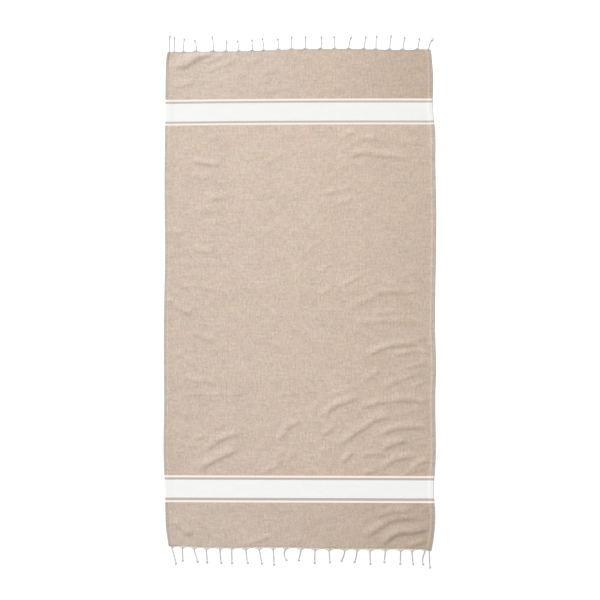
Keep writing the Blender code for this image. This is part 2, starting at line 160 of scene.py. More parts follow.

# %% [markdown]
# ## The folds
# A towel that was shaken out still holds low creases. Each row below is one of them: its height,
# the width of its gentle side, up and left, that of its steep side, down and right, and then a
# path along its steep side from left to right, all in millimetres. Listing them one by one keeps
# each crease where the photo shows it, which a cloth simulation would not.

# %% Lay out the folds
Fold = namedtuple("Fold", "height gentle steep path")
FOLDS = [Fold(height, gentle, steep, path) for height, gentle, steep, *path in (
    # broad swells where the towel was folded in storage
    (1.5, 100, 70, (-470, 12), (-230, 8), (20, 6), (260, 14), (470, 20)),
    (1.1, 100, 76, (-480, -318), (-300, -322), (-120, -326), (90, -330)),
    # far end panel
    (5.8, 42, 20, (-474, 858), (-437, 853), (-408, 862), (-380, 880), (-335, 900), (-300, 920)),
    (2.3, 24, 12, (-469, 783), (-426, 784), (-400, 791), (-380, 796)),
    (1.6, 22, 11, (-351, 831), (-309, 844), (-281, 860), (-238, 868)),
    (1.9, 20, 11, (-352, 866), (-322, 875), (-292, 891), (-269, 908)),
    (1.4, 24, 11, (-140, 822), (-100, 833), (-62, 846)),
    (1.3, 22, 11, (-138, 755), (-101, 763), (-57, 777)),
    (0.9, 18, 10, (-166, 792), (-134, 799), (-102, 805)),
    (1.6, 18, 10, (-193, 870), (-165, 875), (-141, 884)),
    # far half of the field
    (3.6, 26, 12, (-402, 509), (-347, 497), (-285, 491)),
    (1.7, 24, 12, (-376, 606), (-333, 595), (-296, 581)),
    (1.8, 20, 11, (-399, 453), (-366, 447), (-329, 446)),
    (1.4, 16, 10, (-309, 429), (-292, 427), (-272, 426)),
    (2.5, 26, 12, (-340, 367), (-300, 371), (-262, 367)),
    (1.0, 24, 16, (-387, 329), (-343, 323), (-275, 325)),
    (1.6, 20, 11, (-345, 281), (-314, 279), (-288, 278)),
    (1.4, 24, 14, (-469, 242), (-443, 244), (-417, 254)),
    (1.0, 20, 10, (-381, 218), (-343, 216), (-299, 218)),
    (1.3, 26, 12, (-134, 494), (-97, 508), (-46, 542)),
    (1.3, 14, 10, (-8, 146), (17, 164), (51, 192), (86, 220)),
    (2.1, 22, 12, (160, 589), (180, 606), (212, 617)),
    (2.0, 22, 12, (204, 582), (245, 588), (296, 584)),
    (1.0, 22, 12, (373, 575), (407, 575), (440, 571)),
    (1.4, 18, 11, (170, 546), (190, 563), (210, 577)),
    (3.4, 28, 13, (162, 512), (196, 526), (226, 535), (288, 529), (344, 523), (416, 511)),
    (1.9, 18, 10, (147, 481), (160, 487), (182, 490)),
    (1.7, 22, 12, (80, 377), (110, 389), (145, 398), (182, 408), (212, 420)),
    (0.9, 20, 11, (215, 420), (243, 424), (275, 420)),
    (1.7, 22, 11, (143, 352), (168, 357), (197, 365)),
    # middle of the field
    (2.1, 26, 12, (-392, 180), (-355, 175), (-308, 177)),
    (0.9, 22, 11, (-480, 127), (-366, 129), (-256, 129)),
    (1.5, 22, 11, (-460, 47), (-433, 43), (-372, 46), (-335, 37), (-290, 31)),
    (2.7, 18, 10, (-491, -2), (-469, -10), (-439, -17)),
    (4.2, 24, 11, (-469, -17), (-443, -34), (-419, -49), (-391, -52)),
    (2.3, 24, 10, (-404, -124), (-372, -136), (-341, -149), (-309, -161)),
    (2.6, 18, 8, (-453, -187), (-433, -207), (-409, -231), (-382, -254)),
    (1.8, 24, 11, (-440, -280), (-396, -295), (-350, -303), (-303, -318)),
    (1.2, 16, 9, (-460, -360), (-421, -354), (-372, -350), (-335, -355),
     (-298, -350), (-237, -351), (-186, -345)),
    (0.9, 18, 10, (-108, -361), (-79, -356), (-50, -351), (-5, -351)),
    (2.0, 18, 10, (86, 96), (94, 110), (106, 128)),
    (1.6, 18, 10, (78, 12), (101, 29), (127, 50)),
    (2.0, 16, 10, (153, 43), (177, 57), (199, 71), (251, 100)),
    (0.9, 18, 10, (156, 15), (178, 22), (202, 28)),
    (2.1, 28, 14, (156, -40), (186, -37), (212, -22), (238, -11),
     (266, 2), (298, 21), (369, 25), (478, 28)),
    (1.3, 20, 10, (279, -56), (323, -51), (367, -46)),
    (1.8, 18, 10, (318, 49), (340, 53), (369, 49)),
    (1.9, 24, 12, (178, -93), (233, -88), (290, -83), (377, -83), (480, -91)),
    (1.1, 18, 10, (48, -94), (94, -90), (142, -93)),
    # near left of the field
    (3.3, 26, 13, (-365, -540), (-331, -544), (-303, -526),
     (-271, -509), (-241, -500), (-208, -484)),
    (1.2, 16, 9, (-478, -518), (-446, -531), (-402, -540), (-360, -541)),
    (2.1, 12, 9, (-384, -512), (-366, -507), (-348, -504)),
    (4.2, 30, 16, (-377, -634), (-346, -613), (-321, -599),
     (-297, -587), (-255, -566), (-215, -549)),
    (1.6, 16, 10, (-314, -474), (-296, -471), (-276, -468)),
    (3.1, 24, 12, (-80, -528), (-66, -507), (-48, -489), (-39, -470), (-5, -452), (12, -444)),
    (1.5, 18, 10, (46, -445), (58, -411), (74, -371)),
    (2.1, 18, 10, (-104, -628), (-80, -612), (-66, -588), (-70, -568), (-46, -549)),
    (1.8, 20, 11, (-143, -641), (-117, -634), (-91, -622)),
    (1.0, 16, 9, (-38, -590), (-22, -574), (-4, -560)),
    # fan at the near right of the field
    (3.6, 26, 12, (240, -213), (270, -198), (298, -185), (340, -172), (410, -166), (445, -160)),
    (1.0, 18, 10, (418, -150), (443, -146), (473, -144)),
    (1.8, 18, 11, (337, -207), (369, -204), (399, -197), (435, -192), (459, -197), (489, -206)),
    (2.2, 22, 12, (235, -300), (266, -284), (301, -258)),
    (2.0, 18, 10, (379, -257), (421, -247), (445, -240), (473, -234)),
    (2.2, 26, 12, (296, -325), (338, -314), (390, -290), (452, -271)),
    (1.5, 18, 10, (410, -328), (440, -315), (470, -300)),
    (1.3, 22, 12, (110, -358), (142, -345), (179, -334), (229, -315)),
    (3.8, 28, 13, (97, -438), (119, -402), (167, -381), (227, -358)),
    (3.0, 24, 15, (218, -400), (261, -391), (297, -381), (352, -378)),
    (3.6, 24, 12, (330, -378), (370, -371), (417, -372), (480, -385)),
    (3.7, 30, 14, (140, -549), (186, -509), (235, -476), (282, -445), (350, -429)),
    (1.4, 22, 11, (359, -432), (407, -416), (462, -399)),
    (3.6, 26, 13, (292, -509), (329, -484), (377, -474), (430, -471), (480, -477)),
    (2.4, 20, 11, (77, -504), (104, -487), (134, -470)),
    (3.6, 22, 11, (162, -602), (183, -576), (203, -556)),
    (1.1, 18, 10, (69, -560), (97, -555), (123, -548)),
    (4.3, 30, 12, (306, -556), (343, -535), (366, -528), (398, -524)),
    (2.2, 22, 14, (229, -588), (261, -571), (319, -568)),
    (3.3, 26, 12, (296, -634), (328, -606), (366, -586), (430, -578)),
    (3.6, 22, 12, (415, -622), (443, -604), (475, -592)),
    (2.8, 18, 11, (235, -642), (259, -635), (285, -630)),
    (2.1, 22, 12, (370, -649), (421, -631), (473, -623)),
    (1.1, 18, 11, (439, -532), (463, -533), (489, -540)),
    # near end panel
    (4.4, 26, 18, (-473, -812), (-443, -835), (-421, -856), (-397, -874)),
    (1.3, 20, 11, (-417, -816), (-383, -818), (-353, -834)),
    (2.1, 20, 12, (-199, -902), (-157, -892), (-123, -879), (-99, -868)),
    (1.2, 20, 11, (-73, -786), (-47, -782), (-21, -777)),
    (1.4, 18, 10, (-40, -904), (-10, -894), (20, -888)),
    (4.4, 24, 15, (275, -804), (324, -789), (359, -781), (422, -781)),
    (1.7, 18, 10, (447, -782), (461, -774), (483, -767)),
    (4.4, 28, 15, (226, -874), (268, -860), (312, -830), (345, -811), (400, -806), (440, -811)),
    (6.0, 32, 16, (299, -910), (337, -877), (369, -861), (427, -856), (489, -840)),
    (3.5, 18, 11, (399, -911), (429, -899), (468, -891)),
)]
print(len(FOLDS), "folds, the highest", max(fold.height for fold in FOLDS), "mm")

# %% [markdown]
# A crease is highest along its path and dies out at both ends. For each point of the cloth we
# find the nearest place on the path, how far off it is, and on which side. Two halves of a bell
# curve, of different widths, then make the two sides of the crease.

# %% Draw a fold's path and its section
PATH_STEPS = 6                # straight runs between two points of a fold's path


def bell(share):
    """1 at the crest and 0 from a share of 1 on, level at both."""
    return 0.5 * (1.0 + np.cos(math.pi * np.clip(share, 0.0, 1.0)))


def smooth_path(points):
    """A fold's path as many short runs through its points."""
    points = np.asarray(points, dtype=float) * MM
    knots = np.arange(len(points))
    places = np.linspace(0, len(points) - 1, PATH_STEPS * (len(points) - 1) + 1)
    columns = [smooth_through(knots, points[:, axis], places) for axis in (0, 1)]
    return np.stack(columns, axis=1)


print("the first fold's path has", len(smooth_path(FOLDS[0].path)), "points")

# %% Work out the height of one fold
FOLD_TAPER = 0.22             # share of a fold's length over which it rises from each end


def fold_height(fold, across, along):
    """Height of one fold over each of the places, in metres."""
    path = smooth_path(fold.path)
    lengths = np.linalg.norm(np.diff(path, axis=0), axis=1)
    starts = np.concatenate([[0.0], np.cumsum(lengths)[:-1]])
    nearest = np.full(across.shape, np.inf)
    offset = np.zeros(across.shape)
    travelled = np.zeros(across.shape)
    for (x, y), (dx, dy), length, start in zip(path, np.diff(path, axis=0), lengths, starts):
        run = np.clip(((across - x) * dx + (along - y) * dy) / length ** 2, 0.0, 1.0)
        gap_x = across - x - run * dx
        gap_y = along - y - run * dy
        distance = np.hypot(gap_x, gap_y)
        closer = distance < nearest
        nearest = np.where(closer, distance, nearest)
        side = np.where(dx * gap_y - dy * gap_x >= 0.0, 1.0, -1.0)
        offset = np.where(closer, side * distance, offset)
        travelled = np.where(closer, start + run * length, travelled)
    share = travelled / lengths.sum()
    taper = 1.0 - bell(np.minimum(share, 1.0 - share) / FOLD_TAPER)
    steep = fold.steep * MM
    beyond = offset - steep / 2.0
    across_fold = np.where(beyond > 0.0, bell(beyond / (fold.gentle * MM)), bell(-beyond / steep))
    return fold.height * MM * taper * across_fold


# %% Add up the height of all the folds
END_FADE = 0.014              # folds die out over this distance from the two ends


def fade_at_ends(across, along):
    """0 at both ends of the cloth and 1 a little way in."""
    to_end = np.minimum(end_along(across, "far") - along, along - end_along(across, "near"))
    return 1.0 - bell(to_end / END_FADE)


def relief(across, along):
    """Height of the cloth's underside above the floor, from its folds."""
    across = np.asarray(across, dtype=float)
    along = np.asarray(along, dtype=float)
    height = np.zeros(across.shape)
    for fold in FOLDS:
        low = np.min(fold.path, axis=0) * MM
        high = np.max(fold.path, axis=0) * MM
        margin = (fold.gentle + fold.steep) * MM
        near = (across > low[0] - margin) & (across < high[0] + margin)
        near &= (along > low[1] - margin) & (along < high[1] + margin)
        if near.any():
            height[near] += fold_height(fold, across[near], along[near])
    return height * fade_at_ends(across, along)


highest = max(FOLDS, key=lambda fold: fold.height)
halfway = relief(*np.transpose(highest.path) * MM)      # a path runs halfway up the steep side
print("halfway up its steep side the highest fold is", round(halfway.max() / MM, 1), "mm high")

# %% [markdown]
# ## The woven cloth
# The cloth is a grid whose points are moved in code. Its columns run along the towel. Most are
# evenly spaced, but at each side they follow the real hem: out along the layer that is turned
# under, round the fold, and back over the top. The stitches pull the hem down a little, and
# beside them the cloth drops to a single layer.

# %% Draw the section of the turned hem
SHEET_THICKNESS = 0.0013
HALF_WIDTH = 0.5              # of the finished towel, in the loom map
HEM_WIDTH = 0.014
TURN_RADIUS = 0.0007          # of the middle of the cloth where it turns under
STITCH_INSET = 0.0118
STITCH_DIMPLE = 0.0004        # how far the stitches pull the hem down
HEM_END = 0.018               # the even columns of the field begin here
UNDER_INSETS = (0.0125, 0.0085, 0.0045, TURN_RADIUS)
TURN_ANGLES = (-45, 0, 45)
TOP_COLUMNS = [               # inset, and height above a level hem
    (TURN_RADIUS, 0.0), (0.0035, 0.0001), (0.0070, 0.0001), (0.0098, 0.0),
    (STITCH_INSET, -STITCH_DIMPLE), (0.0133, -0.0001),
]
BESIDE_INSETS = (0.0148, 0.0163, HEM_END)
LEFT_SETTLE = 0.024           # width over which the cloth comes down beside the left hem
RIGHT_SETTLE = 0.0035
Column = namedtuple("Column", "inset lift cut")


def hem_columns():
    """The section of a hem from its raw edge: inset from the side, height, place in the cut."""
    low = SHEET_THICKNESS / 2
    high = low + 2 * TURN_RADIUS
    points = [(inset, low) for inset in UNDER_INSETS]
    for turn in np.radians(TURN_ANGLES):
        points.append((TURN_RADIUS * (1 - math.cos(turn)),
                       low + TURN_RADIUS * (1 + math.sin(turn))))
    points += [(inset, high + rise) for inset, rise in TOP_COLUMNS]
    points += [(inset, low) for inset in BESIDE_INSETS]
    columns = []
    cut = -HALF_WIDTH - TURN_RADIUS * math.pi - points[0][0]
    for index, (inset, lift) in enumerate(points):
        if index:
            cut += math.dist((inset, lift), points[index - 1])
        columns.append(Column(inset, lift, cut))
    return columns


HEM = hem_columns()
CUT_WIDTH = -2 * HEM[0].cut
print(len(HEM), "columns in each hem; the cloth was cut", round(CUT_WIDTH, 3), "m wide")

# %% [markdown]
# The grid is a plain primitive. Every point gets its place across and along, between the four
# curves of the outline, and then its height. A UV map keeps where each point lay in the loom, in
# metres, so that stripes and threads follow the cloth.

# %% Make the grid
FIELD_COLUMNS = 122
ROWS = 312

HEM_SPAN = len(HEM)
last_column = 2 * HEM_SPAN + FIELD_COLUMNS - 1
bpy.ops.mesh.primitive_grid_add(x_subdivisions=last_column, y_subdivisions=ROWS, size=1.0)
cloth = bpy.context.object
cloth.name = "towel_cloth"
spots = np.array([point.co[:2] for point in cloth.data.vertices])
column = np.rint((spots[:, 0] + 0.5) * last_column).astype(int)
row_share = spots[:, 1] + 0.5
print(len(cloth.data.vertices), "points in the grid")

# %% Move its points to the outline
LEFT_CORNER = ENDS[0].across * MM
RIGHT_CORNER = ENDS[-1].across * MM
mirrored = np.minimum(column, last_column - column)
in_hem = mirrored < HEM_SPAN
on_right = column > last_column / 2
inset, lift, hem_cut = np.array(HEM)[np.minimum(mirrored, HEM_SPAN - 1)].T
field_share = (column - HEM_SPAN + 1) / (last_column - 2 * HEM_SPAN + 2)
beside_hem = field_share * (1.0 - 2.0 * HEM_END)

across_share = np.where(in_hem, inset, HEM_END + beside_hem)
across_share = np.where(in_hem & on_right, 1.0 - across_share, across_share)
across_share_to_side = np.minimum(across_share, 1.0 - across_share)


def outline_places(across_share, along_share):
    """Places between the four curves of the outline, for shares of the width and the length."""
    left_ends = [end_along(LEFT_CORNER, end) for end in ("near", "far")]
    right_ends = [end_along(RIGHT_CORNER, end) for end in ("near", "far")]
    left = side_across(mix(*left_ends, along_share), "left")
    right = side_across(mix(*right_ends, along_share), "right")
    near_x, far_x = [mix(side_across(one, "left"), side_across(other, "right"), across_share)
                     for one, other in zip(left_ends, right_ends)]
    along = mix(end_along(near_x, "near"), end_along(far_x, "far"), along_share)
    return mix(left, right, across_share), along


across, along = outline_places(across_share, row_share)
print("across", across.min().round(4), across.max().round(4), "along", along.min().round(4),
      along.max().round(4))

# %% [markdown]
# Between its creases, cotton that has been washed never lies quite flat. A soft noise lifts the
# sheet here and there by a few tenths of a millimetre. Along the stitches, the hem puckers.

# %% Lift the grid on its folds
NOISE_FALLOFF = 0.8           # how fast each finer layer of the noise weakens
NOISE_STEP = 2.1              # how much finer each layer is
NOISE_LAYERS = 3
UNEVEN_HEIGHT = 0.00055
UNEVEN_ACROSS = 0.070
UNEVEN_ALONG = 0.038
UNEVEN_SEED = 3.0
PUCKER_HEIGHT = 0.0005
PUCKER_LENGTH = 0.007
PUCKER_REACH = 0.006
PUCKER_SEED = 8.0


def soft_noise(across, along, size_across, size_along, seed):
    """Smooth noise from 0 to 1 at each place, with lumps of about the given sizes."""
    spots = zip(across / size_across, along / size_along)
    raw = [noise.fractal(Vector((x, y, seed)), NOISE_FALLOFF, NOISE_STEP, NOISE_LAYERS)
           for x, y in spots]
    return np.clip(0.5 + 0.5 * np.array(raw), 0.0, 1.0)


def uneven_relief(across, along):
    """The folds' height with the cloth's own unevenness."""
    uneven = soft_noise(across, along, UNEVEN_ACROSS, UNEVEN_ALONG, UNEVEN_SEED) * UNEVEN_HEIGHT
    return relief(across, along) + uneven * fade_at_ends(across, along)


def pucker(across, along):
    """How far the cloth beside a stitch puckers up."""
    return soft_noise(across, along, 1.0, PUCKER_LENGTH, PUCKER_SEED) * PUCKER_HEIGHT


height = uneven_relief(across, along)
near_stitch = bell(np.abs(inset - STITCH_INSET) / PUCKER_REACH)
height += np.where(lift > SHEET_THICKNESS, pucker(across, along) * near_stitch, 0)
height += np.where(in_hem, lift, SHEET_THICKNESS / 2)
beyond_hem = across_share_to_side - HEM_WIDTH
settle = np.where(on_right, RIGHT_SETTLE, LEFT_SETTLE)
height += np.where(beyond_hem > 0, 2 * TURN_RADIUS * bell(beyond_hem / settle), 0)
places = np.stack([across, along, height], axis=1)
cloth.data.vertices.foreach_set("co", places.ravel())
print("the cloth rises to", round(height.max() / MM, 1), "mm")

# %% [markdown]
# ### Where each point lay in the loom
# The weft isn't quite straight on the floor: it tilts a little, and bows near the far end. The
# map takes that out, so a stripe that is straight in the map is bowed on the towel, as in the
# photo. Close to both ends the map follows the last thread.

# %% Write the loom map
LOOM_END = 0.9155             # where both ends lie in the map
TILT = 0.00075
TILT_GROWTH = 0.0060          # how much the tilt grows in each metre along the towel
FAR_BOW = 0.0020
BOW_GROWTH = 0.7              # the bow grows over this distance from the middle
END_BLEND = 0.74              # from here outwards the map turns to follow the end


def loom_along(across, along):
    """Place along the loom, with the weft's tilt and bow taken out."""
    bow = FAR_BOW * (1 - 4 * across ** 2) * np.clip(along / BOW_GROWTH, 0.0, 1.0)
    return along - across * (TILT + TILT_GROWTH * along) - bow


loom_v = loom_along(across, along)
for end, sign in (("far", 1), ("near", -1)):
    last = end_along(across, end)
    follow = 1 - bell((along * sign - END_BLEND) / (last * sign - END_BLEND))
    loom_v += follow * (sign * LOOM_END - loom_along(across, last))
loom_u = np.where(in_hem, hem_cut, -HALF_WIDTH + HEM_END + beside_hem)
loom_u = np.where(in_hem & on_right, -loom_u, loom_u)
loom_map = cloth.data.uv_layers[0]
loom_map.name = "loom"
corner_points = np.empty(len(cloth.data.loops), dtype=int)
cloth.data.loops.foreach_get("vertex_index", corner_points)
loom_places = np.stack([loom_u, loom_v], axis=1)[corner_points]
loom_map.data.foreach_set("uv", loom_places.ravel())
print("the loom map runs", loom_u.min().round(3), loom_u.max().round(3), loom_v.min().round(3),
      loom_v.max().round(3))

# %% [markdown]
# The grid is only the middle of the cloth. The Solidify modifier gives it a real thickness, half
# to each side, and closes the raw ends.

# %% Give the cloth its thickness
SMOOTH_ANGLE = math.radians(60)          # edges that turn more than this stay sharp


def apply_modifiers(piece):
    """Applies every modifier of a piece, top to bottom."""
    bpy.context.view_layer.objects.active = piece
    for modifier in list(piece.modifiers):
        bpy.ops.object.modifier_apply(modifier=modifier.name)


def triangles(piece):
    """How many triangles a piece has."""
    return sum(len(face.vertices) - 2 for face in piece.data.polygons)


thicken = cloth.modifiers.new("thickness", "SOLIDIFY")
thicken.thickness = SHEET_THICKNESS
thicken.offset = 0.0
apply_modifiers(cloth)
bpy.ops.object.shade_smooth_by_angle(angle=SMOOTH_ANGLE)
print("cloth:", triangles(cloth), "triangles")

# %% [markdown]
# ## The stitches of the hems
# Each hem is held by one row of lockstitches. We model a single stitch: a short six-sided
# thread whose ends are extruded, narrowed and sunk into the cloth. An Array repeats it along the
# towel, and its points then follow the curved side and the folds.

# %% Model one stitch
STITCH_LENGTH = 0.0022
STITCH_PITCH = 0.0026
STITCH_LEVEL = 0.55           # share of a stitch that lies level
STITCH_TAPER = 0.6
STITCH_SINK = 0.0005
THREAD_RADIUS = 0.00042
THREAD_SIDES = 6


def make_stitch(name):
    """One stitch along Y, its middle on the surface of the cloth."""
    level = STITCH_LENGTH * STITCH_LEVEL
    bpy.ops.mesh.primitive_cylinder_add(vertices=THREAD_SIDES, radius=THREAD_RADIUS,
                                        depth=level, rotation=(math.pi / 2, 0.0, 0.0))
    stitch = bpy.context.object
    stitch.name = name
    bpy.ops.object.transform_apply(location=False, rotation=True, scale=True)
    for direction in (1, -1):
        bpy.ops.object.mode_set(mode="EDIT")
        bpy.ops.mesh.select_all(action="DESELECT")
        bpy.ops.mesh.select_mode(type="FACE")
        bpy.ops.object.mode_set(mode="OBJECT")
        for face in stitch.data.polygons:
            face.select = face.normal.y * direction > 0.9      # the end face on this side
        bpy.ops.object.mode_set(mode="EDIT")
        move = (0, direction * (STITCH_LENGTH - level) / 2, -STITCH_SINK)
        bpy.ops.mesh.extrude_region_move(TRANSFORM_OT_translate={"value": move})
        bpy.ops.transform.resize(value=(STITCH_TAPER, 1.0, STITCH_TAPER))
        bpy.ops.object.mode_set(mode="OBJECT")
    return stitch


# %% Sew a row of stitches down each hem
HEM_PLACE = 0.48              # where across the towel the rows' ends are measured


def sew_hem(side):
    """A row of stitches along the left or right hem."""
    outward = -1 if side == "left" else 1
    first = float(end_along(outward * HEM_PLACE, "near")) + STITCH_PITCH
    last = float(end_along(outward * HEM_PLACE, "far")) - STITCH_PITCH
    stitch = make_stitch("stitches_" + side)
    row = stitch.modifiers.new("row", "ARRAY")
    row.use_relative_offset = False
    row.use_constant_offset = True
    row.constant_offset_displace = (0.0, STITCH_PITCH, 0.0)
    row.count = int((last - first) / STITCH_PITCH)
    apply_modifiers(stitch)
    points = np.array([point.co[:] for point in stitch.data.vertices])
    along = points[:, 1] + first
    across = side_across(along, side) - outward * STITCH_INSET
    ground = uneven_relief(across, along) + pucker(across, along)
    surface = ground + SHEET_THICKNESS + 2 * TURN_RADIUS - STITCH_DIMPLE
    placed = np.stack([across + points[:, 0], along, surface + points[:, 2]], axis=1)
    stitch.data.vertices.foreach_set("co", placed.ravel())
    bpy.ops.object.shade_smooth_by_angle(angle=SMOOTH_ANGLE)
    return stitch


stitch_rows = [sew_hem(side) for side in ("left", "right")]
print("stitches:", [triangles(piece) for piece in stitch_rows], "triangles")

# %% [markdown]
# ## The tassels
# The warp ends that hang from each end of the towel are gathered into tassels. The maker twists
# each bundle into two plies, twists the plies around each other, and ties an overhand knot near
# the tip. The tables give each tassel's root, the lean of its tip to the right, its reach and
# the bow of its middle, in millimetres.

# %% List the tassels
Tassel = namedtuple("Tassel", "root lean reach bow")
EndLine = namedtuple("EndLine", "name outward tassels")
FAR_TASSELS = [Tassel(*row) for row in (
    (-478, 3, 66, -3), (-462, 0, 60, 1), (-427, 3, 53, -1), (-380, -9, 46, 3), (-316, -9, 59, 2),
    (-271, 1, 40, 1), (-224, -7, 41, 1), (-173, -5, 43, 1), (-132, -9, 48, 2), (-77, -5, 43, 0),
    (-29, 0, 50, -1), (21, -2, 50, 1), (78, 0, 50, 1), (129, -5, 50, 1), (180, 11, 46, -2),
    (237, 7, 51, -1), (280, 3, 54, -1), (330, 6, 57, 0), (379, 7, 50, 0), (434, 5, 43, 1),
    (474, 17, 41, -3),
)]
NEAR_TASSELS = [Tassel(*row) for row in (
    (-471, 17, 66, 2), (-432, 1, 52, 1), (-390, 16, 54, 1), (-344, 3, 55, 1), (-293, 5, 55, -1),
    (-250, 1, 56, 0), (-198, 8, 56, -1), (-150, 11, 60, 1), (-98, 3, 64, 1), (-52, 7, 44, -8),
    (5, -11, 44, 1), (56, -2, 53, 0), (107, 3, 49, 1), (165, -16, 42, 4), (210, -12, 47, 3),
    (258, 1, 54, 0), (314, -5, 47, 1), (371, -2, 53, 0), (412, 5, 54, 0), (461, -6, 52, -6),
    (476, 2, 62, 0),
)]
END_LINES = [EndLine("far", 1, FAR_TASSELS), EndLine("near", -1, NEAR_TASSELS)]

# %% [markdown]
# Yarn is drawn as curves with a round bevel. One curve object holds many splines, and one
# conversion turns them all into a mesh. We write every strand as if its tassel were straight,
# and a small function then bends it along the tassel.

# %% Draw yarn as curves
Strand = namedtuple("Strand", "points radii closed")
STRIP_REACH = 0.0063          # from the end of the cloth to where a tassel's cord begins


def select_only(pieces):
    """Selects some pieces and makes the first one active."""
    bpy.ops.object.select_all(action="DESELECT")
    for piece in pieces:
        piece.select_set(True)
    bpy.context.view_layer.objects.active = pieces[0]


def spin_yarn(name, strands, roundness):
    """A mesh of all the strands. Roundness 0 gives 4 sides, and each step up gives 2 more."""
    curve = bpy.data.curves.new(name, "CURVE")
    curve.dimensions = "3D"
    curve.bevel_depth = 1.0
    curve.bevel_resolution = roundness
    curve.use_fill_caps = True
    for strand in strands:
        spline = curve.splines.new("POLY")
        spline.points.add(len(strand.points) - 1)
        places = np.hstack([strand.points, np.ones((len(strand.points), 1))])
        spline.points.foreach_set("co", places.ravel())
        radii = np.broadcast_to(strand.radii, len(strand.points)).copy()
        spline.points.foreach_set("radius", radii)
        spline.use_cyclic_u = strand.closed
    yarn = bpy.data.objects.new(name, curve)
    bpy.context.scene.collection.objects.link(yarn)
    select_only([yarn])
    bpy.ops.object.convert(target="MESH")
    bpy.context.object.data.shade_smooth()
    return bpy.context.object


def on_tassel(line, tassel, across, reached, up):
    """Bends places beside a straight cord along one tassel's own line."""
    reach = tassel.reach * MM
    lean = tassel.lean * MM
    bow = 4.0 * tassel.bow * MM
    share = np.asarray(reached) / reach
    root = tassel.root * MM
    start = float(end_along(root, line.name)) + line.outward * STRIP_REACH
    heading_x = lean + bow * (1.0 - 2.0 * share)
    length = np.hypot(heading_x, reach)
    x = root + lean * share + bow * share * (1.0 - share) + across * reach / length
    y = start + line.outward * (reach * share - across * heading_x / length)
    return np.stack([x, y, np.broadcast_to(up, x.shape)], axis=1)


# %% Twist the two plies of a cord
PLY_RADIUS = 0.00098
PLY_OFFSET = 0.00092          # from the cord's middle to a ply's middle
PLY_TURN = 0.0085             # length of one full turn
PLY_STEP = 0.0008
PLY_FLATNESS = 0.9            # the plies rise and fall by this share of their offset
CORD_OVERLAP = 0.0015         # into the root and into the knot
KNOT_SHARE = 0.84             # place of the knot as a share of the reach
LONG_SWELL, LONG_LENGTH = 0.07, 0.0047       # the cord's thick and thin places: how much
SHORT_SWELL, SHORT_LENGTH = 0.05, 0.0021     # thicker they are, and their length


def knot_place(tassel):
    """How far from its root a tassel's knot lies."""
    return KNOT_SHARE * tassel.reach * MM


def cord_plies(line, tassel, chance):
    """The two plies of a tassel's cord, from its root into its knot."""
    reached = np.arange(-CORD_OVERLAP, knot_place(tassel) + CORD_OVERLAP, PLY_STEP)
    start = chance.uniform(0, 2 * math.pi)
    swell = 1.0 + LONG_SWELL * np.sin(reached / LONG_LENGTH + start)
    swell = swell + SHORT_SWELL * np.sin(reached / SHORT_LENGTH)
    plies = []
    for ply in (0, 1):
        angle = start + math.pi * ply + 2 * math.pi * reached / PLY_TURN
        across = PLY_OFFSET * np.cos(angle) * swell
        up = PLY_RADIUS * swell + PLY_FLATNESS * PLY_OFFSET * (1 + np.sin(angle))
        points = on_tassel(line, tassel, across, reached, up)
        plies.append(Strand(points, PLY_RADIUS * swell, False))
    return plies


first_cord = cord_plies(END_LINES[0], FAR_TASSELS[0], random.Random(0))
print("the first cord:", [len(ply.points) for ply in first_cord], "points in its plies")

# %% [markdown]
# An overhand knot is a trefoil whose ends run on into the cord. Sine waves draw a closed trefoil
# of two plies. The cord runs into one side of it and the loose ends leave at the other, so the
# missing cut can't be seen.

# %% Tie the knots
KNOT_SIZE = 0.00104
KNOT_RISE = 0.00135
KNOT_PLY = 0.00080
KNOT_TIGHTNESS = 0.75         # a ply's distance from the knot's path, in its own radii
KNOT_STEPS = 40
KNOT_WINDS = 5


def unit(vectors):
    """The same directions, each 1 long."""
    return vectors / np.linalg.norm(vectors, axis=1)[:, None]


def knot_plies(line, tassel, chance):
    """The two plies of a tight overhand knot, lying on the floor."""
    turn = np.linspace(0.0, 2 * math.pi, KNOT_STEPS, endpoint=False)
    across = np.sin(turn) + 2 * np.sin(2 * turn)
    forward = np.cos(turn) - 2 * np.cos(2 * turn)
    rise = -KNOT_RISE * np.sin(3 * turn)
    path = np.stack([across * KNOT_SIZE, forward * KNOT_SIZE, rise], axis=1)
    heading = unit(np.roll(path, -1, axis=0) - np.roll(path, 1, axis=0))
    beside = unit(np.cross(heading, [0.0, 0.0, 1.0]))
    above = np.cross(beside, heading)
    lie = chance.uniform(0, 2 * math.pi)
    cos, sin = math.cos(lie), math.sin(lie)
    plies = []
    for ply in (0, 1):
        wind = (KNOT_WINDS * turn + math.pi * ply)[:, None]
        around = np.cos(wind) * beside + np.sin(wind) * above
        spots = path + KNOT_TIGHTNESS * KNOT_PLY * around
        spots[:, 2] += KNOT_RISE + (1 + KNOT_TIGHTNESS) * KNOT_PLY
        x = spots[:, 0] * cos - spots[:, 1] * sin
        y = spots[:, 0] * sin + spots[:, 1] * cos
        placed = on_tassel(line, tassel, x, knot_place(tassel) + y, spots[:, 2])
        plies.append(Strand(placed, KNOT_PLY, True))
    return plies


first_knot = knot_plies(END_LINES[0], FAR_TASSELS[0], random.Random(0))
knot_size = np.ptp(np.vstack([ply.points for ply in first_knot]), axis=0) + 2 * KNOT_PLY
print("the first knot measures", np.round(knot_size / MM, 1), "mm")

# %% Let the cut ends spread past the knot
TIP_YARNS = 9
TIP_STEPS = 6
TIP_RADIUS = 0.00036
TIP_THINNING = 0.35           # share of the radius that is gone at the cut
TIP_START = 0.0012            # beyond the middle of the knot
TIP_HEIGHTS = (0.0012, 0.0040)
TIP_FALL = 1.5                # above 1, a tip falls to the floor early
TIP_SPREAD = 0.0034
TIP_CURVE = 0.65              # share of the spread that comes late, towards the cut
TIP_REACH = {"far": (0.97, 1.13), "near": (0.95, 1.03)}     # as shares of the tassel's reach


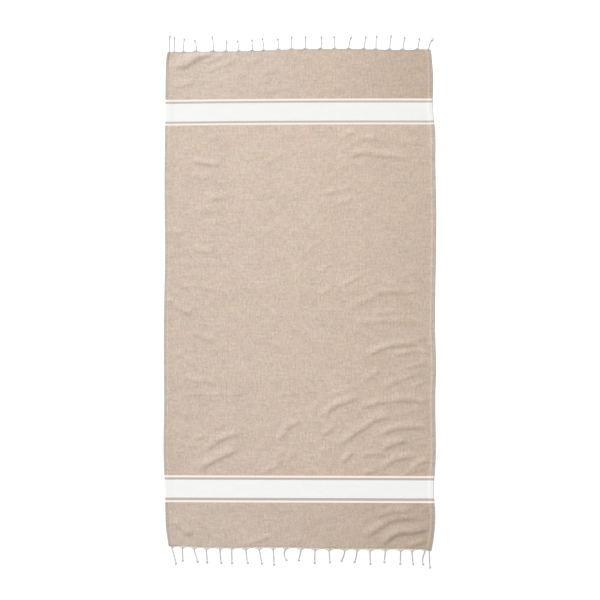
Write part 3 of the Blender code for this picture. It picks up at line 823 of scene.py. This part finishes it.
def tip_yarns(line, tassel, chance):
    """The cut ends of the yarns, spread like a small brush on the floor."""
    least, most = TIP_REACH[line.name]
    first = knot_place(tassel) + TIP_START
    run = np.linspace(0.0, 1.0, TIP_STEPS)
    radii = TIP_RADIUS * (1.0 - TIP_THINNING * run)
    yarns = []
    for _ in range(TIP_YARNS):
        last = tassel.reach * MM * chance.uniform(least, most)
        spread = chance.uniform(-1, 1) * TIP_SPREAD
        top = chance.uniform(*TIP_HEIGHTS)
        across = spread * mix(run, run ** 2, TIP_CURVE)
        up = TIP_RADIUS + top * (1 - run) ** TIP_FALL
        points = on_tassel(line, tassel, across, first + (last - first) * run, up)
        yarns.append(Strand(points, radii, False))
    return yarns


# %% [markdown]
# ### The gathered warp
# Between the cloth and the cord, the warp ends of half a hand's width are drawn together. They
# leave the cloth side by side and run flat along its end into the root of the tassel.

# %% Gather the warp into the roots
WARP_PITCH = 0.0023
WARP_RADIUS = 0.00050
WARP_THINNING = 0.25          # share of the radius that is gone at the root
WARP_STEPS = 9
WARP_JITTER = 0.3             # in millimetres
WARP_BENDS = (0.10, 0.25)     # how soon a warp end turns towards its root
WARP_REACH = 0.0078           # from the end of the cloth to where the cord takes over
WARP_HUG = {"far": 3.5, "near": 2.6}     # the higher, the longer they keep to the cloth
WARP_TUCK = 0.0012            # how far they start inside the cloth
WARP_CLEARANCE = 0.0006
WARP_LIFT = 0.00062
WARP_ARCH = 0.00050
ROOT_HEIGHTS = (0.0006, 0.0030)
ROOT_HALF_WIDTH = 0.0014
LEAST_HALF_SPAN = 0.004
LEAST_WARPS = 4
END_INSET = 0.0015            # the outermost warp ends leave this far inside the hems


def partings(line):
    """Places across the end of the cloth that part one tassel's warp from the next."""
    roots = [tassel.root * MM for tassel in line.tassels]
    left = float(side_across(end_along(LEFT_CORNER, line.name), "left")) + END_INSET
    right = float(side_across(end_along(RIGHT_CORNER, line.name), "right")) - END_INSET
    return [left] + [(one + two) / 2 for one, two in zip(roots, roots[1:])] + [right]


def gathered_warp(line, tassel, left, right, chance):
    """The warp ends that run from the cloth into one tassel."""
    count = max(LEAST_WARPS, round((right - left) / WARP_PITCH))
    run = np.linspace(0.0, 1.0, WARP_STEPS)
    back = 1 - run
    root = tassel.root * MM
    strands = []
    for index in range(count):
        jitter = chance.uniform(-WARP_JITTER, WARP_JITTER) * MM
        leaves = left + (right - left) * (index + 0.5) / count + jitter
        sideways = (leaves - root) / max(right - root, root - left, LEAST_HALF_SPAN)
        arrives = root + sideways * ROOT_HALF_WIDTH
        bend = leaves + (root - leaves) * chance.uniform(*WARP_BENDS)
        x = leaves * back ** 2 + 2 * bend * run * back + arrives * run ** 2
        out = WARP_REACH * run ** WARP_HUG[line.name]
        out = out + WARP_CLEARANCE * back - WARP_TUCK * back ** 4
        y = end_along(x, line.name) + line.outward * out
        top = chance.uniform(*ROOT_HEIGHTS)
        up = WARP_LIFT * back + WARP_ARCH * run * back + top * run
        points = np.stack([x, y, up], axis=1)
        strands.append(Strand(points, WARP_RADIUS * (1 - WARP_THINNING * run), False))
    return strands


# %% Make the fringe of each end
TASSEL_SEEDS = (11, 12)
GATHER_SEEDS = (31, 32)


def make_tassels(line, seed):
    """All the tassels of one end: cords, knots and cut tips."""
    chance = random.Random(seed)
    cords, knots, tips = [], [], []
    for tassel in line.tassels:
        cords += cord_plies(line, tassel, chance)
        knots += knot_plies(line, tassel, chance)
        tips += tip_yarns(line, tassel, chance)
    twisted = spin_yarn("tassels_" + line.name, cords, 2)
    knotted = spin_yarn("knots_" + line.name, knots, 2)
    select_only([knotted, spin_yarn("tips", tips, 0)])
    bpy.ops.object.join()
    return twisted, knotted


def make_gathers(line, seed):
    """The warp ends that feed the tassels of one end."""
    chance = random.Random(seed)
    strands = []
    limits = partings(line)
    for tassel, left, right in zip(line.tassels, limits, limits[1:]):
        strands += gathered_warp(line, tassel, left, right, chance)
    return spin_yarn("gathered_warp_" + line.name, strands, 1)


fringes, knot_rows = zip(*map(make_tassels, END_LINES, TASSEL_SEEDS))
gather_rows = [*map(make_gathers, END_LINES, GATHER_SEEDS)]
print("tassels:", [triangles(piece) for piece in fringes + knot_rows], "triangles")
print("gathered warp:", [triangles(piece) for piece in gather_rows], "triangles")

# %% [markdown]
# ### The last picks
# A pick is one throw of the weft. The last few picks lie loose against the end of the cloth,
# because nothing beats them up once the loom has stopped. They wander, and the warp crosses them.

# %% Lay the last picks
PICK_PLACES = (0.0001, 0.0009, 0.0017)
PICK_RADIUS = 0.00046
PICK_STEP = 0.003
PICK_WANDER = 0.0009
PICK_WANDER_LENGTH = 0.02
PICK_NOISE_SEED = 5.0
PICK_RISE = 0.0003            # how far the warp that crosses a pick lifts it
PICK_SEEDS = (21, 22)


def make_picks(line, seed):
    """Three loose weft yarns along one end."""
    chance = random.Random(seed)
    left, right = partings(line)[0], partings(line)[-1]
    across = np.arange(left, right, PICK_STEP)
    strands = []
    for out in PICK_PLACES:
        shift = chance.uniform(0, 100)
        wander = soft_noise(across + shift, across * 0, PICK_WANDER_LENGTH, 1.0,
                            PICK_NOISE_SEED) - 0.5
        along = end_along(across, line.name) + line.outward * (out + wander * PICK_WANDER)
        up = PICK_RADIUS + PICK_RISE * (1 + np.sin(across / WARP_PITCH * math.pi + shift))
        strands.append(Strand(np.stack([across, along, up], axis=1), PICK_RADIUS, False))
    return spin_yarn("last_picks_" + line.name, strands, 1)


pick_rows = [*map(make_picks, END_LINES, PICK_SEEDS)]
print("last picks:", [triangles(piece) for piece in pick_rows], "triangles")

# %% [markdown]
# ## Writing finishes
# A finish is a tree of nodes. Written out link by link, even a simple formula is hard to read.
# Two small classes help. `Number` wraps the output of a node, so that Python's own signs add
# Math nodes. `Finish` holds one material and adds any other node by its type.

# %% Write shader maths as Python
class Number:
    """The output of a node, which can be added, taken away and multiplied."""

    def __init__(self, finish, output):
        self.finish = finish
        self.output = output

    def maths(self, operation, *numbers):
        """The result of one Math node."""
        return self.finish.add("ShaderNodeMath", {"operation": operation}, dict(enumerate(numbers)))

    def __add__(self, other):
        return self.maths("ADD", self, other)

    def __radd__(self, other):
        return self.maths("ADD", other, self)

    def __sub__(self, other):
        return self.maths("SUBTRACT", self, other)

    def __rsub__(self, other):
        return self.maths("SUBTRACT", other, self)

    def __mul__(self, other):
        return self.maths("MULTIPLY", self, other)

    def __rmul__(self, other):
        return self.maths("MULTIPLY", other, self)

    def __abs__(self):
        return self.maths("ABSOLUTE", self)

    def sine(self):
        return self.maths("SINE", self)


# %% Hold one material and its nodes
COTTON_SHINE = 0.25


class Finish:
    """A material in the making, around its Principled shader."""

    def __init__(self, name, roughness, sheen):
        self.material = bpy.data.materials.new(name)
        self.material.use_nodes = True
        self.tree = self.material.node_tree
        self.shader = self.tree.nodes["Principled BSDF"]
        self.shader.inputs["Roughness"].default_value = roughness
        self.shader.inputs["Sheen Weight"].default_value = sheen
        self.shader.inputs["Specular IOR Level"].default_value = COTTON_SHINE

    def feed(self, socket, value):
        """Links a node's output to a socket, or sets a plain value."""
        if isinstance(value, Number):
            self.tree.links.new(value.output, socket)
        else:
            socket.default_value = value

    def add(self, kind, settings=None, sockets=None, result=0):
        """One output of a new node, which gets its settings first and then its sockets."""
        node = self.tree.nodes.new(kind)
        for name, value in (settings or {}).items():
            setattr(node, name, value)
        for name, value in (sockets or {}).items():
            self.feed(node.inputs[name], value)
        return Number(self, node.outputs[result])

    def split(self, vector):
        """The three numbers of a vector."""
        first = self.add("ShaderNodeSeparateXYZ", None, {0: vector})
        return [Number(self, output) for output in first.output.node.outputs]

    def blend(self, share, one, other, kind="MIX"):
        """One colour where the share is 0, the other where it is 1."""
        sockets = {0: share, 6: one, 7: other}
        return self.add("ShaderNodeMix", {"data_type": "RGBA", "blend_type": kind}, sockets, 2)

    def tint(self, share, colour, by):
        """A colour, multiplied by another as far as the share says."""
        return self.blend(share, colour, by, "MULTIPLY")

    def rise(self, value, low, high):
        """A soft step from 0 to 1 between two values."""
        sockets = {"Value": value, "From Min": low, "From Max": high}
        return self.add("ShaderNodeMapRange", {"interpolation_type": "SMOOTHSTEP"}, sockets)

    def ramp(self, value, ramp):
        """A soft rise from 0 to a ramp's amount."""
        return self.rise(value, ramp.start, ramp.end) * ramp.amount

    def stripe(self, value, low, high, soft):
        """1 between two values and 0 outside, with soft edges."""
        past = self.rise(value, high - soft, high + soft)
        return self.rise(value, low - soft, low + soft) * (1 - past)

    def lumps(self, u, v, kind):
        """Noise between about -0.5 and 0.5, with the lumps of one kind."""
        across = u * kind.across
        if kind.shift:
            across = across + kind.shift
        place = self.add("ShaderNodeCombineXYZ", None, {0: across, 1: v * kind.along})
        sockets = {"Vector": place, "Scale": 1.0, "Detail": kind.detail}
        return self.add("ShaderNodeTexNoise", {"noise_dimensions": "2D"}, sockets) - 0.5

    def show(self, colour, height):
        """Sends a colour and a height in metres to the shader."""
        sockets = {"Height": height, "Distance": 1.0, "Strength": 1.0}
        bump = self.add("ShaderNodeBump", None, sockets)
        self.feed(self.shader.inputs["Base Color"], colour)
        self.feed(self.shader.inputs["Normal"], bump)
        return self.material


# %% [markdown]
# ## The weave
# In a plain weave each warp thread passes over one weft thread and under the next. Two sine
# waves, one across and one along, make that chequer: where their product is above nought, the
# white warp is on top. The yarn is thick in some places and thin in others. These slubs show as
# short streaks across and along, so two stretched noises carry them. All places are in the loom
# map's metres, u across the towel and v along it.

# %% List the stripes along the loom
Span = namedtuple("Span", "low high")
WIDE_BANDS = [Span(0.6587, 0.7244), Span(-0.7261, -0.6600)]
THIN_LINES = [Span(0.7321, 0.7393), Span(0.6443, 0.6511), Span(-0.6515, -0.6442),
              Span(-0.7431, -0.7356)]
ACCENTS = [Span(0.7244, 0.7321), Span(0.6511, 0.6587), Span(-0.6600, -0.6515),
           Span(-0.7356, -0.7261)]
STRIPE_SOFTNESS = 0.0005
STRIPE_WANDER = 0.4           # share of the weft's wander that the stripes follow
BAND_FLECKS = 0.5

# %% List the yarns' unevenness
# A row gives how many lumps lie in a metre across and along, how fine their detail is, and how
# strong they are. A shift moves the noise, so that two rows don't lie on each other.
THREAD_PITCH = 0.0009
THREAD_RELIEF = 0.00010
CHEQUER = 0.3                 # contrast of warp and weft in the chequer
CHEQUER_EDGE = Span(-0.5, 0.5)
Lumps = namedtuple("Lumps", "across along detail strength shift", defaults=[0])
WANDER_ACROSS = Lumps(45, 30, 2.0, 0.0009)
WANDER_ALONG = Lumps(30, 45, 2.0, 0.0009, 7.3)
STREAKS = [
    Lumps(30, 110, 2.0, 0.52),             # slubs of the weft
    Lumps(150, 36, 1.5, 0.54),             # slubs of the warp
    Lumps(150, 140, 1.0, 0.72),            # flecks
    Lumps(12, 20, 2.0, 0.28),              # clouds
]
ROSY_DRIFT = Lumps(17, 22, 3.0, 0.72, 3.1)           # from rosy to straw
AMBER_DRIFT = Lumps(17, 22, 3.0, 0.72, 8.6)          # from lilac to amber
CREPE = Lumps(60, 95, 3.0, 0.00030)
SLUB_HEIGHT = 0.00012

# %% List the colours
DARK_FIELD = (0.412, 0.322, 0.252, 1.0)
LIGHT_FIELD = (0.620, 0.513, 0.426, 1.0)
# The near band and lines are painted lighter than the far ones: painted light against the lamp's
# falloff towards the near end
BAND_FAR = (0.700, 0.700, 0.690, 1.0)
BAND_NEAR_PAINTED_LIGHT = (0.770, 0.770, 0.768, 1.0)
LINE_FAR = (0.755, 0.680, 0.615, 1.0)
LINE_NEAR_PAINTED_LIGHT = (0.830, 0.755, 0.685, 1.0)
ACCENT_GREY = (0.440, 0.395, 0.355, 1.0)
# Painted shade: the hems darker and cooler than the field, the left hem greyer in the panels
HEM_LEFT_PAINTED_SHADE = (0.855, 0.925, 0.985, 1.0)
HEM_LEFT_END_PAINTED_SHADE = (0.84, 0.865, 0.885, 1.0)
HEM_RIGHT_PAINTED_SHADE = (0.93, 0.975, 1.035, 1.0)
# Painted light on the right hem's outer fold, which turns away from the lamp
HEM_RIGHT_FOLD_PAINTED_LIGHT = (1.03, 1.09, 1.15, 1.0)
# Partly the lighter stitch thread, partly a painted highlight on the right hem's ridge
THREAD_AND_PAINTED_HIGHLIGHT = (1.12, 1.12, 1.12, 1.0)
# The last rows at each end: darker from their denser beige weft, and partly painted shade along the
# cut end
END_FAR_WEFT_AND_PAINTED_SHADE = (0.88, 0.91, 0.94, 1.0)
END_NEAR_WEFT_AND_PAINTED_SHADE = (0.83, 0.86, 0.89, 1.0)
ROSY = (1.045, 0.975, 1.03, 1.0)
STRAW = (0.955, 1.025, 0.97, 1.0)
LILAC = (0.96, 0.989, 1.059, 1.0)
AMBER = (1.04, 1.011, 0.941, 1.0)
COOL = (1.0, 1.028, 1.065, 1.0)
WARM = (1.0, 0.978, 0.952, 1.0)
BLACK = (0.0, 0.0, 0.0, 1.0)

# %% [markdown]
# The towel in the photo isn't equally light all over. It darkens and warms a little towards the
# right, most of all in the two panels beyond the bands, and its hems are cooler. That is painted
# shade, with part of the step at the right the warp's own tone. Soft ramps over the map carry it.
# A mask of 0 leaves the colour alone, and one of 1 gives it the whole tint.

# %% Say where the painted shade changes
Ramp = namedtuple("Ramp", "start end amount")
# Painted shade: darker towards the right and in the panels, with part of the step at the right the
# warp's own tone
PAINTED_SHADE_RIGHT = Ramp(0.05, 0.62, 0.10)
PAINTED_SHADE_LEFT = Ramp(0.2, 0.45, 0.025)
PAINTED_SHADE_PANEL = Ramp(-0.45, 0.55, 0.078)
PANEL_PAINTED_SHADE = 0.018
PANEL_EDGE = Span(0.739, 0.741)
WARMTH = Span(-0.55, 0.55)
FIELD_WARMTH = 0.5            # share of the warm and cool tints that shows between the bands
FAR_HALF = Span(-0.5, 0.5)
LEFT_HEM = 0.4895             # where the left hem's tint begins
LEFT_HEM_GROWTH = 0.0036      # how much earlier it begins in the panels
LEFT_HEM_SOFTNESS = 0.005
CORNER_PAINTED_SHADOW = Span(0.4905, 0.4975)       # a painted shadow where the hem rolls at the far left corner
CORNER_RISE = Span(0.830, 0.905)
CORNER_SOFTNESS = 0.0015
CORNER_PAINTED_SHADOW_STRENGTH = 0.24
# where the right hem's painted shade begins
RIGHT_HEM = Span(0.4885, 0.4915)
# where the painted light on the right hem's outer fold lies
RIGHT_FOLD = Span(0.4965, 0.4995)
# where the stitch thread and the painted highlight on the hem's ridge lie
STITCH_LINE = Span(0.4858, 0.4886)
STITCH_SOFTNESS = 0.0006
LAST_ROWS = Span(LOOM_END - 0.0060, LOOM_END - 0.0010)


# %% [markdown]
# The finish is built in the order in which the eye takes it in: first the threads with their
# slubs and flecks, then the painted shade and soft tones of the whole cloth, and last the stripes
# across it.

# %% Lay the threads
def total(parts):
    """The sum of several numbers."""
    return sum(parts[1:], parts[0])


def chequer(finish, u, v):
    """The product of the warp's and the weft's waves, and how far the weft wanders."""
    wander_u = finish.lumps(u, v, WANDER_ACROSS) * WANDER_ACROSS.strength
    wander_v = finish.lumps(u, v, WANDER_ALONG) * WANDER_ALONG.strength
    warp_wave = ((u + wander_u) * (math.pi / THREAD_PITCH)).sine()
    weft_wave = ((v + wander_v) * (math.pi / THREAD_PITCH)).sine()
    return warp_wave * weft_wave, wander_v


def field_colour(finish, u, v, waves, noises):
    """White warp and beige weft, with their slubs and flecks."""
    on_top = finish.rise(waves, *CHEQUER_EDGE)
    streaks = total([lumps * kind.strength for lumps, kind in zip(noises, STREAKS)])
    field = finish.blend(0.5 + (on_top - 0.5) * CHEQUER + streaks, DARK_FIELD, LIGHT_FIELD)
    for kind, one, other in ((ROSY_DRIFT, ROSY, STRAW), (AMBER_DRIFT, LILAC, AMBER)):
        drift = 0.5 + finish.lumps(u, v, kind) * kind.strength
        field = finish.tint(1.0, field, finish.blend(drift, one, other))
    return field


# %% Paint shade on the field, the panels and the hems
def with_painted_light_and_shade(finish, u, v, field):
    """The field's colour with painted shade to the right and on the hems, painted light and a
    painted highlight on the right hem, and a painted shadow at the far left corner; part of the
    darkening at the right is the warp's own tone.
    """
    left = -1 * u
    panel = finish.rise(abs(v), *PANEL_EDGE)
    # Painted shade, darker towards the right and most of all in the panels
    painted_shade = finish.ramp(u, PAINTED_SHADE_RIGHT) + finish.ramp(left, PAINTED_SHADE_LEFT)
    painted_shade = painted_shade + panel * (finish.ramp(u, PAINTED_SHADE_PANEL) + PANEL_PAINTED_SHADE)
    field = finish.blend(painted_shade, field, BLACK)
    warmth = finish.blend(finish.rise(u, *WARMTH), COOL, WARM)
    field = finish.tint(FIELD_WARMTH + panel * (1 - FIELD_WARMTH), field, warmth)

    # Painted shade along the left hem, greyer in the panels
    left_hem_painted_shade = finish.blend(panel, HEM_LEFT_PAINTED_SHADE, HEM_LEFT_END_PAINTED_SHADE)
    left_start = LEFT_HEM - panel * LEFT_HEM_GROWTH
    left_hem = finish.rise(left, left_start, left_start + LEFT_HEM_SOFTNESS)
    field = finish.tint(left_hem, field, left_hem_painted_shade)
    # Painted shadow where the hem rolls at the far left corner
    painted_corner_shadow = finish.stripe(left, *CORNER_PAINTED_SHADOW, CORNER_SOFTNESS) * finish.rise(v, *CORNER_RISE)
    field = finish.blend(painted_corner_shadow * CORNER_PAINTED_SHADOW_STRENGTH, field, BLACK)
    # Painted shade on the right hem, and painted light on its outer fold
    right_hem_painted_light_and_shade = finish.blend(finish.rise(u, *RIGHT_FOLD), HEM_RIGHT_PAINTED_SHADE, HEM_RIGHT_FOLD_PAINTED_LIGHT)
    field = finish.tint(finish.rise(u, *RIGHT_HEM), field, right_hem_painted_light_and_shade)
    # The lighter stitch thread and a painted highlight on the hem's ridge beside it
    return finish.tint(finish.stripe(u, *STITCH_LINE, STITCH_SOFTNESS), field, THREAD_AND_PAINTED_HIGHLIGHT)


# %% Lay the stripes across the field
def striped(finish, edge, far_half, flecks, colour):
    """A colour crossed by the white bands, the thin lines and the darker lines between them."""
    # Painted light: the near end's band and lines lighter than the far end's
    line_with_painted_light = finish.blend(far_half, LINE_NEAR_PAINTED_LIGHT, LINE_FAR)
    band_with_painted_light = finish.blend(far_half + flecks * BAND_FLECKS, BAND_NEAR_PAINTED_LIGHT, BAND_FAR)
    for stripes, tone in ((ACCENTS, ACCENT_GREY), (THIN_LINES, line_with_painted_light), (WIDE_BANDS, band_with_painted_light)):
        mask = total([finish.stripe(edge, *stripe, STRIPE_SOFTNESS) for stripe in stripes])
        colour = finish.blend(mask, colour, tone)
    return colour


# %% Weave the cloth's finish
def woven_finish():
    """White warp and beige weft, with white bands."""
    finish = Finish("beige_and_white_weave", roughness=0.92, sheen=0.12)
    u, v, _ = finish.split(finish.add("ShaderNodeUVMap", {"uv_map": "loom"}))
    waves, wander = chequer(finish, u, v)
    noises = [finish.lumps(u, v, kind) for kind in STREAKS]
    weft_slubs, warp_slubs, flecks, _ = noises
    far_half = finish.rise(v, *FAR_HALF)
    colour = with_painted_light_and_shade(finish, u, v, field_colour(finish, u, v, waves, noises))
    colour = striped(finish, v + wander * STRIPE_WANDER, far_half, flecks, colour)
    # Partly the denser weft of the last rows, partly painted shade along the end
    end_weft_and_painted_shade = finish.blend(far_half, END_NEAR_WEFT_AND_PAINTED_SHADE, END_FAR_WEFT_AND_PAINTED_SHADE)
    colour = finish.tint(finish.rise(abs(v), *LAST_ROWS), colour, end_weft_and_painted_shade)
    threads = abs(waves) * THREAD_RELIEF
    crepe = finish.lumps(u, v, CREPE) * CREPE.strength
    return finish.show(colour, threads + crepe + (weft_slubs + warp_slubs) * SLUB_HEIGHT)


weave = woven_finish()
print(weave.name, "has", len(weave.node_tree.nodes), "nodes")

# %% [markdown]
# ## The yarns
# The tassels are the bare warp. Twisted cotton is matt and slightly hairy, so its finish is a
# near-white with faint fibres, darkened by painted shade. In the photo the tassels of the near end
# look greyer than those of the far end, and the tone follows that as painted shade. The knots get
# a lighter copy of the same yarn, painted light against their own shade.

# %% Finish the yarns
FIBRES_PER_METRE = 1400.0
FIBRE_SHADE = (0.35, 0.34, 0.33, 1.0)
FIBRE_DEPTH = 0.6             # how far the darkest gaps between fibres turn to that shade
FIBRE_SHARE = 0.25            # how much of it shows on the whole
FIBRE_CONTRAST = 0.9
Yarn = namedtuple("Yarn", "name far near fibre_height")
YARNS = [
    # White warp: painted shade, darker than the bands' white and greyer at the near end
    Yarn("white_warp_yarn", (0.635, 0.635, 0.63, 1.0), (0.545, 0.545, 0.55, 1.0), 0.00012),
    # Knots: a lighter copy of the white warp yarn, painted light against their own shade
    Yarn("white_knotted_yarn", (0.84, 0.84, 0.835, 1.0), (0.76, 0.76, 0.765, 1.0), 0.00012),
    Yarn("cream_warp_yarn", (0.70, 0.66, 0.60, 1.0), (0.76, 0.72, 0.65, 1.0), 0.00012),
    Yarn("beige_weft_yarn", (0.42, 0.37, 0.32, 1.0), (0.60, 0.55, 0.49, 1.0), 0.00010),
    Yarn("cream_sewing_thread", (0.86, 0.79, 0.68, 1.0), (0.86, 0.79, 0.68, 1.0), 0.00004),
]


def yarn_finish(yarn):
    """Cotton yarn whose tone runs from one end of the towel to the other."""
    finish = Finish(yarn.name, roughness=0.9, sheen=0.2)
    place = finish.add("ShaderNodeTexCoord", None, None, 3)
    sockets = {"Vector": place, "Scale": FIBRES_PER_METRE, "Detail": 2.0}
    fibres = finish.add("ShaderNodeTexNoise", None, sockets) - 0.5
    # For the white warp yarn, the greyer near end is painted shade
    tone = finish.blend(finish.rise(finish.split(place)[1], *FAR_HALF), yarn.near, yarn.far)
    darker = finish.blend(FIBRE_DEPTH, tone, FIBRE_SHADE)
    colour = finish.blend(FIBRE_SHARE - fibres * FIBRE_CONTRAST, tone, darker)
    return finish.show(colour, fibres * yarn.fibre_height)


# The knots' finish is the warp yarn painted lighter, painted light against their shade
warp_yarn, knot_finish_painted_light, gathered_yarn, weft_yarn, sewing_thread = map(yarn_finish, YARNS)
print("finishes:", weave.name, *[yarn.name for yarn in YARNS])

# %% [markdown]
# ## Handing the pieces over
# Every piece now moves to its place in the imported model and gets its finish, and the solids
# that the cloth and the fringes stand for are hidden.

# %% Put the pieces in their place
def hand_over(piece, material):
    """Moves a piece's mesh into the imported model's frame and gives it its finish."""
    piece.data.transform(Matrix.Translation(MIDDLE))
    piece.data.materials.clear()
    piece.data.materials.append(material)
    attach(piece, "root")


for pieces, material, slot in (
        ([cloth], weave, "woven_cloth"), (stitch_rows, sewing_thread, "white_warp"),
        (pick_rows, weft_yarn, "woven_cloth"), (gather_rows, gathered_yarn, "white_warp"),
        (knot_rows, knot_finish_painted_light, "white_warp"), (fringes, warp_yarn, "white_warp")):
    for piece in pieces:
        hand_over(piece, material)
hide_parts("cloth")
for line, fringe in zip(END_LINES, fringes):
    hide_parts("fringe_" + line.name)

# %% [markdown]
# ## The floor and the light
# The towel lies on a plain white floor in a photo studio. A large soft lamp stands beyond its
# far end, a little to the left, so the folds cast their soft shade towards the viewer. The rest
# of the light comes evenly from all around.

# %% Lay the floor and set the lamp
FLOOR_SIZE = 40.0
FLOOR_COLOUR = (0.93, 0.93, 0.93, 1.0)
SKY_LIGHT = 0.592
SKY_COLOUR = (1.0, 0.97, 0.92, 1.0)
LAMP_COLOUR = (0.975, 1.0, 1.04)
LAMP_POWER = 2290.0
LAMP_SIZE = 4.2
LAMP_DISTANCE = 14.0
LAMP_AZIMUTH = math.radians(121)
LAMP_ELEVATION = math.radians(36)

bpy.ops.mesh.primitive_plane_add(size=FLOOR_SIZE, location=(0.0, 0.0, 0.0))
floor = bpy.context.object
floor.name = "floor"
floor_finish = Finish("white_floor", roughness=0.95, sheen=0.0)
floor_finish.shader.inputs["Base Color"].default_value = FLOOR_COLOUR
floor.data.materials.append(floor_finish.material)

sky = bpy.data.worlds.new("studio")
sky.use_nodes = True
sky_inputs = sky.node_tree.nodes["Background"].inputs
sky_inputs["Color"].default_value = SKY_COLOUR
sky_inputs["Strength"].default_value = SKY_LIGHT
bpy.context.scene.world = sky

level = math.cos(LAMP_ELEVATION)
towards_lamp = Vector((math.cos(LAMP_AZIMUTH) * level, math.sin(LAMP_AZIMUTH) * level,
                       math.sin(LAMP_ELEVATION)))
bpy.ops.object.light_add(type="AREA", location=towards_lamp * LAMP_DISTANCE)
lamp = bpy.context.object
lamp.data.energy = LAMP_POWER
lamp.data.color = LAMP_COLOUR
lamp.data.size = LAMP_SIZE
lamp.rotation_mode = "QUATERNION"
lamp.rotation_quaternion = towards_lamp.to_track_quat("Z", "Y")
bpy.context.scene.view_settings.view_transform = "Standard"
